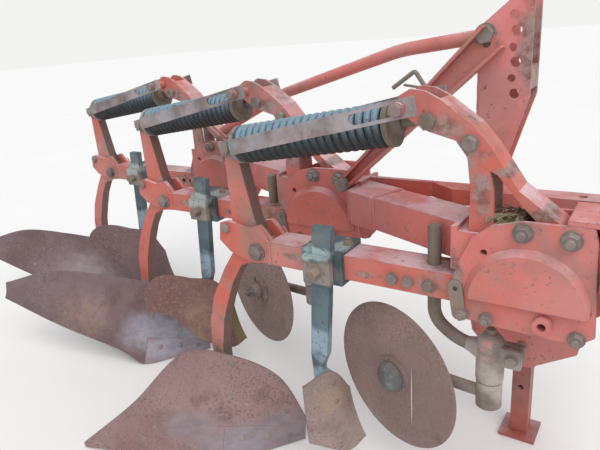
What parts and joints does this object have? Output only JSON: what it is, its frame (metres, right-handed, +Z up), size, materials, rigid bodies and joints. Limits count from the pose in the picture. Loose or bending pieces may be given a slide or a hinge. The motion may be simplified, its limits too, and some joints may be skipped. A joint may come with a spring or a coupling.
{
  "type": "moldboard plough",
  "caption": "Mounted moldboard plough with spring-reset legs, skimmers, trailing disc coulters, mast and parking stand",
  "frame": {"origin": "on the ground under the middle of the whole machine", "axes": "+X points to the tractor, +Y to the unploughed land on the left, +Z up"},
  "size_m": [3.4702, 1.1944, 1.478],
  "materials": {
    "frame_paint": "faded orange-red paint, scratched, with rust",
    "casting": "grey-brown casting with traces of paint and moss",
    "spring_paint": "worn blue-green paint",
    "share_steel": "rusty steel with worn blue-grey areas",
    "disc_steel": "rusty steel disc"
  },
  "bodies": {
    "root": {"bracket_1": "frame_paint", "bracket_2": "frame_paint", "bracket_3": "frame_paint", "beam_1": "frame_paint", "beam_2": "frame_paint", "beam_3": "frame_paint", "link_12": "frame_paint", "link_23": "frame_paint", "arm_1": "frame_paint", "arm_2": "frame_paint", "arm_3": "frame_paint", "rod_1": "casting", "rod_2": "casting", "rod_3": "casting", "spring_1": "spring_paint", "spring_2": "spring_paint", "spring_3": "spring_paint", "skim_stalk_1": "spring_paint", "skim_stalk_2": "spring_paint", "skim_stalk_3": "spring_paint", "skim_board_1": "share_steel", "skim_board_2": "share_steel", "skim_board_3": "share_steel", "coulter_stem_1": "casting", "coulter_stem_2": "casting", "mast": "frame_paint", "brace": "frame_paint", "stay_tube": "frame_paint", "left_bar": "frame_paint", "headstock": "frame_paint", "stand_bracket": "frame_paint"},
    "leg_body_1": {"leg_1": "casting", "frog_1": "casting", "landside_1": "share_steel", "moldboard_1": "share_steel", "cover_1": "share_steel", "share_1": "share_steel"},
    "strap_body_1": {"strap_1": "casting"},
    "leg_body_2": {"leg_2": "casting", "frog_2": "casting", "landside_2": "share_steel", "moldboard_2": "share_steel", "cover_2": "share_steel", "share_2": "share_steel"},
    "strap_body_2": {"strap_2": "casting"},
    "leg_body_3": {"leg_3": "casting", "frog_3": "casting", "landside_3": "share_steel", "moldboard_3": "share_steel", "cover_3": "share_steel", "share_3": "share_steel"},
    "strap_body_3": {"strap_3": "casting"},
    "coulter_body_1": {"coulter_arm_1": "casting"},
    "disc_body_1": {"disc_1": "disc_steel"},
    "coulter_body_2": {"coulter_arm_2": "casting"},
    "disc_body_2": {"disc_2": "disc_steel"},
    "stand_body": {"stand_leg": "frame_paint"}
  },
  "joints": [
    {"name": "leg_trip_1", "type": "hinge", "parent": "root", "child": "leg_body_1", "pos_m": [0.64885, -0.19525, 0.768], "axis": [0, 1, 0], "range_deg": [0, 20], "stiffness_Nm_per_rad": 2500, "springref_deg": -20.05, "deforming": ["spring_1"]},
    {"name": "strap_swing_1", "type": "hinge", "parent": "leg_body_1", "child": "strap_body_1", "pos_m": [0.56685, -0.19525, 1.098], "axis": [0, 1, 0], "range_deg": [-22, 0]},
    {"name": "leg_trip_2", "type": "hinge", "parent": "root", "child": "leg_body_2", "pos_m": [-0.10115, 0.10975, 0.768], "axis": [0, 1, 0], "range_deg": [0, 20], "stiffness_Nm_per_rad": 2500, "springref_deg": -20.05, "deforming": ["spring_2"]},
    {"name": "strap_swing_2", "type": "hinge", "parent": "leg_body_2", "child": "strap_body_2", "pos_m": [-0.18315, 0.10975, 1.098], "axis": [0, 1, 0], "range_deg": [-22, 0]},
    {"name": "leg_trip_3", "type": "hinge", "parent": "root", "child": "leg_body_3", "pos_m": [-0.85115, 0.41475, 0.768], "axis": [0, 1, 0], "range_deg": [0, 20], "stiffness_Nm_per_rad": 2500, "springref_deg": -20.05, "deforming": ["spring_3"]},
    {"name": "strap_swing_3", "type": "hinge", "parent": "leg_body_3", "child": "strap_body_3", "pos_m": [-0.93315, 0.41475, 1.098], "axis": [0, 1, 0], "range_deg": [-22, 0]},
    {"name": "coulter_swing_1", "type": "hinge", "parent": "root", "child": "coulter_body_1", "pos_m": [1.37285, -0.19525, 0.5], "axis": [0, 0, 1], "range_deg": [-10, 5]},
    {"name": "disc_spin_1", "type": "hinge", "parent": "coulter_body_1", "child": "disc_body_1", "pos_m": [1.08207, -0.16792, 0.405], "axis": [0.3395, 0.9406, 0], "continuous": true},
    {"name": "coulter_swing_2", "type": "hinge", "parent": "root", "child": "coulter_body_2", "pos_m": [0.62285, 0.10975, 0.5], "axis": [0, 0, 1], "range_deg": [-10, 5]},
    {"name": "disc_spin_2", "type": "hinge", "parent": "coulter_body_2", "child": "disc_body_2", "pos_m": [0.33207, 0.13708, 0.405], "axis": [0.3395, 0.9406, 0], "continuous": true},
    {"name": "stand_slide", "type": "slide", "parent": "root", "child": "stand_body", "axis": [0, 0, 1], "range_m": [0, 0.27]}
  ],
  "couplings": [
    {"joint": "strap_swing_1", "follows": "leg_trip_1", "ratio": -1.0765},
    {"joint": "strap_swing_2", "follows": "leg_trip_2", "ratio": -1.0765},
    {"joint": "strap_swing_3", "follows": "leg_trip_3", "ratio": -1.0765}
  ]
}
